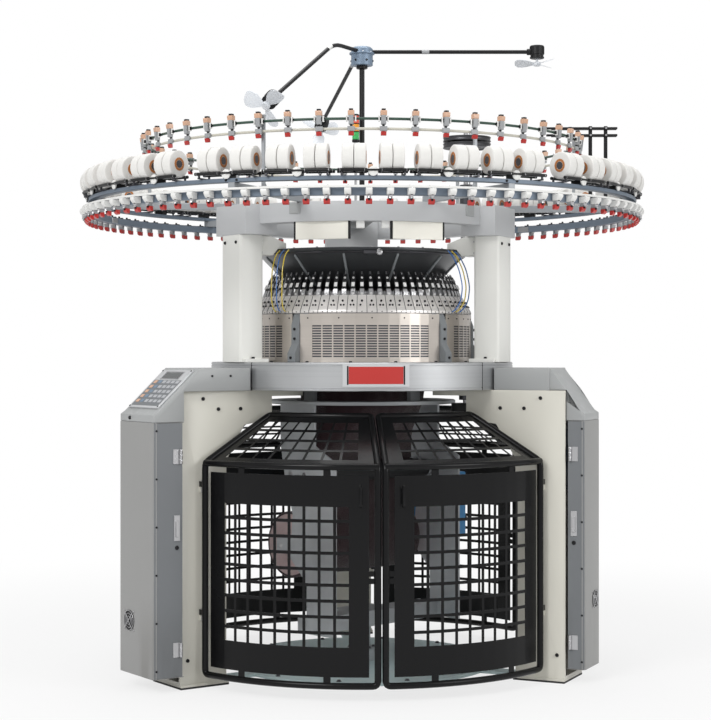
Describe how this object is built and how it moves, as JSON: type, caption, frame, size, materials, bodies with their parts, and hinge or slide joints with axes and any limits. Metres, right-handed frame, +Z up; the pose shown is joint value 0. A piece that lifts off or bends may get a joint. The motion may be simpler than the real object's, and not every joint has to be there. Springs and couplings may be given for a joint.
{
  "type": "circular knitting machine",
  "caption": "Round knitting machine on three legs, with guard doors round its take-down, a cam ring and dish, rings of yarn feeders and spools above, and a turning cross of fans.",
  "frame": {"origin": "on the floor, on the machine's vertical axis", "axes": "+Z up along the axis, front doors facing -Y, +X to the right of someone facing the back"},
  "size_m": [2.566, 2.566, 2.835],
  "materials": {
    "leg_paint": "smooth cream enamel",
    "base_paint": "pale aqua enamel",
    "cabinet_paint": "satin grey sheet",
    "cover_paint": "satin dark grey sheet",
    "panel_face": "bezel round a dark display",
    "bed_metal": "turned and brushed",
    "column_paint": "white enamel",
    "band_paint": "light grey enamel",
    "dish_paint": "dark grey, ribbed",
    "cam_metal": "bright machined steel",
    "cover_metal": "warm nickel with slots",
    "guide_metal": "dark steel with white eyelets",
    "needle_steel": "fine vertical grooves",
    "gear_steel": "oiled steel",
    "motor_paint": "blue-grey enamel",
    "belt_rubber": "black flat belt",
    "door_black": "gloss black",
    "takedown_grey": "grey enamel",
    "gearbox_blue": "blue enamel",
    "roller_steel": "knurled steel",
    "cloth": "maroon jersey",
    "cloth_roll": "rolled jersey, pale at its ends",
    "rail_slate": "slate enamel",
    "sensor_rail_paint": "dark green and cream rails",
    "feeder_plastic": "white with red lower parts",
    "spool_white": "white yarn on pale bobbins",
    "spool_drive": "white boxes and dark rollers",
    "sensor_copper": "copper caps on grey bodies",
    "post_paint": "grey enamel",
    "rack_black": "satin black",
    "pulley_metal": "dark turned aluminium",
    "hub_blue": "blue hub with black arms",
    "fan_motor_black": "black housings",
    "blade_white": "milky white blades",
    "lamp_red": "red, amber and green lenses",
    "sign_cream": "bare cream plates",
    "badge_grey": "bare light plate"
  },
  "bodies": {
    "machine": {"base_plate": "base_paint", "bearing_ring": "gear_steel", "bed_ring": "bed_metal", "cabinet_left": "cabinet_paint", "cabinet_right": "cabinet_paint", "cam_ring": "cam_metal", "column_arms": "column_paint", "columns": "column_paint", "console_left": "cabinet_paint", "console_right": "cabinet_paint", "cover_brackets": "cover_metal", "dish": "dish_paint", "drive_belt": "belt_rubber", "drive_motor": "motor_paint", "feeder_rail": "rail_slate", "front_badge": "badge_grey", "leg_left": "leg_paint", "leg_rear": "leg_paint", "leg_right": "leg_paint", "mast": "post_paint", "operator_panel": "panel_face", "pipe_rack": "rack_black", "rear_cap": "cabinet_paint", "ring_posts": "post_paint", "sensor_rails": "sensor_rail_paint", "shaft_bearings": "gear_steel", "sign_plates": "sign_cream", "signal_lamp": "lamp_red", "spool_drives": "spool_drive", "spool_rail": "rail_slate", "spools": "spool_white", "stop_sensors": "sensor_copper", "top_plate": "band_paint", "vent_covers": "cover_metal", "yarn_feeders": "feeder_plastic", "yarn_guides": "guide_metal"},
    "door_front_right": {"door_front_right": "door_black"},
    "door_front_left": {"door_front_left": "door_black"},
    "door_right_rear": {"door_right_rear": "door_black"},
    "door_right_front": {"door_right_front": "door_black"},
    "door_left_front": {"door_left_front": "door_black"},
    "door_left_rear": {"door_left_rear": "door_black"},
    "cabinet_left_cover": {"cabinet_left_cover": "cover_paint"},
    "cabinet_right_cover": {"cabinet_right_cover": "cover_paint"},
    "rotor": {"needle_cylinder": "needle_steel", "cylinder_gear": "gear_steel", "takedown_frame": "takedown_grey", "takedown_gearbox": "gearbox_blue", "fabric_tube": "cloth"},
    "pinion": {"drive_shaft": "gear_steel"},
    "motor_shaft": {"motor_pulley": "gear_steel"},
    "quality_shaft": {"quality_pulleys": "pulley_metal"},
    "nip_front": {"roller_front": "roller_steel"},
    "nip_rear": {"roller_rear": "roller_steel"},
    "cloth_winder": {"fabric_roll": "cloth_roll"},
    "fan_cross": {"fan_carrier": "hub_blue", "fan_motors": "fan_motor_black"},
    "fan_1": {"fan_blades_1": "blade_white"},
    "fan_2": {"fan_blades_2": "blade_white"},
    "fan_3": {"fan_blades_3": "blade_white"}
  },
  "joints": [
    {"name": "door_front_right_hinge", "type": "hinge", "parent": "machine", "child": "door_front_right", "pos_m": [0.72764, -0.57368, 0.311], "axis": [0, 0, 1], "range_deg": [0, 75]},
    {"name": "door_front_left_hinge", "type": "hinge", "parent": "machine", "child": "door_front_left", "pos_m": [-0.72764, -0.57368, 0.311], "axis": [0, 0, -1], "range_deg": [0, 60]},
    {"name": "door_right_rear_hinge", "type": "hinge", "parent": "machine", "child": "door_right_rear", "pos_m": [0.133, 0.91699, 0.311], "axis": [0, 0, 1], "range_deg": [0, 95]},
    {"name": "door_right_front_hinge", "type": "hinge", "parent": "machine", "child": "door_right_front", "pos_m": [0.86064, -0.34331, 0.311], "axis": [0, 0, -1], "range_deg": [0, 95]},
    {"name": "door_left_front_hinge", "type": "hinge", "parent": "machine", "child": "door_left_front", "pos_m": [-0.86064, -0.34331, 0.311], "axis": [0, 0, 1], "range_deg": [0, 75]},
    {"name": "door_left_rear_hinge", "type": "hinge", "parent": "machine", "child": "door_left_rear", "pos_m": [-0.133, 0.91699, 0.311], "axis": [0, 0, -1], "range_deg": [0, 95]},
    {"name": "cabinet_left_cover_hinge", "type": "hinge", "parent": "machine", "child": "cabinet_left_cover", "pos_m": [-0.81797, -0.65123, 0.177], "axis": [0, 0, 1], "range_deg": [0, 70]},
    {"name": "cabinet_right_cover_hinge", "type": "hinge", "parent": "machine", "child": "cabinet_right_cover", "pos_m": [0.84297, -0.60793, 0.177], "axis": [0, 0, -1], "range_deg": [0, 80]},
    {"name": "rotor_spin", "type": "hinge", "parent": "machine", "child": "rotor", "pos_m": [0, 0, 1.288], "axis": [0, 0, 1], "continuous": true},
    {"name": "pinion_spin", "type": "hinge", "parent": "machine", "child": "pinion", "pos_m": [0.446, -0.2575, 1.2], "axis": [0, 0, 1], "continuous": true},
    {"name": "motor_spin", "type": "hinge", "parent": "machine", "child": "motor_shaft", "pos_m": [0.8054, -0.465, 1.12], "axis": [0, 0, 1], "continuous": true},
    {"name": "quality_spin", "type": "hinge", "parent": "machine", "child": "quality_shaft", "pos_m": [0.42426, -0.42426, 2.13], "axis": [0, 0, 1], "continuous": true},
    {"name": "nip_front_spin", "type": "hinge", "parent": "rotor", "child": "nip_front", "pos_m": [-0.02783, 0.03317, 0.88], "axis": [-0.766, -0.6428, 0], "continuous": true},
    {"name": "nip_rear_spin", "type": "hinge", "parent": "rotor", "child": "nip_rear", "pos_m": [0.02783, -0.03317, 0.88], "axis": [-0.766, -0.6428, 0], "continuous": true},
    {"name": "winder_spin", "type": "hinge", "parent": "rotor", "child": "cloth_winder", "pos_m": [-0.07071, 0.08427, 0.557], "axis": [-0.766, -0.6428, 0], "continuous": true},
    {"name": "fan_cross_spin", "type": "hinge", "parent": "machine", "child": "fan_cross", "pos_m": [0, 0, 2.77], "axis": [0, 0, 1], "continuous": true},
    {"name": "fan_1_spin", "type": "hinge", "parent": "fan_cross", "child": "fan_1", "pos_m": [0.80194, -0.07016, 2.804], "axis": [0, 0, -1], "continuous": true},
    {"name": "fan_2_spin", "type": "hinge", "parent": "fan_cross", "child": "fan_2", "pos_m": [-0.43706, -0.62419, 2.491], "axis": [-0.464, -0.6627, -0.5878], "continuous": true},
    {"name": "fan_3_spin", "type": "hinge", "parent": "fan_cross", "child": "fan_3", "pos_m": [-0.13545, 0.76815, 2.575], "axis": [-0.1405, 0.7967, -0.5878], "continuous": true}
  ],
  "couplings": [
    {"joint": "pinion_spin", "follows": "rotor_spin", "ratio": -4},
    {"joint": "motor_spin", "follows": "rotor_spin", "ratio": -6},
    {"joint": "quality_spin", "follows": "rotor_spin", "ratio": -4},
    {"joint": "nip_rear_spin", "follows": "nip_front_spin", "ratio": -1},
    {"joint": "winder_spin", "follows": "nip_front_spin", "ratio": 0.2667}
  ]
}
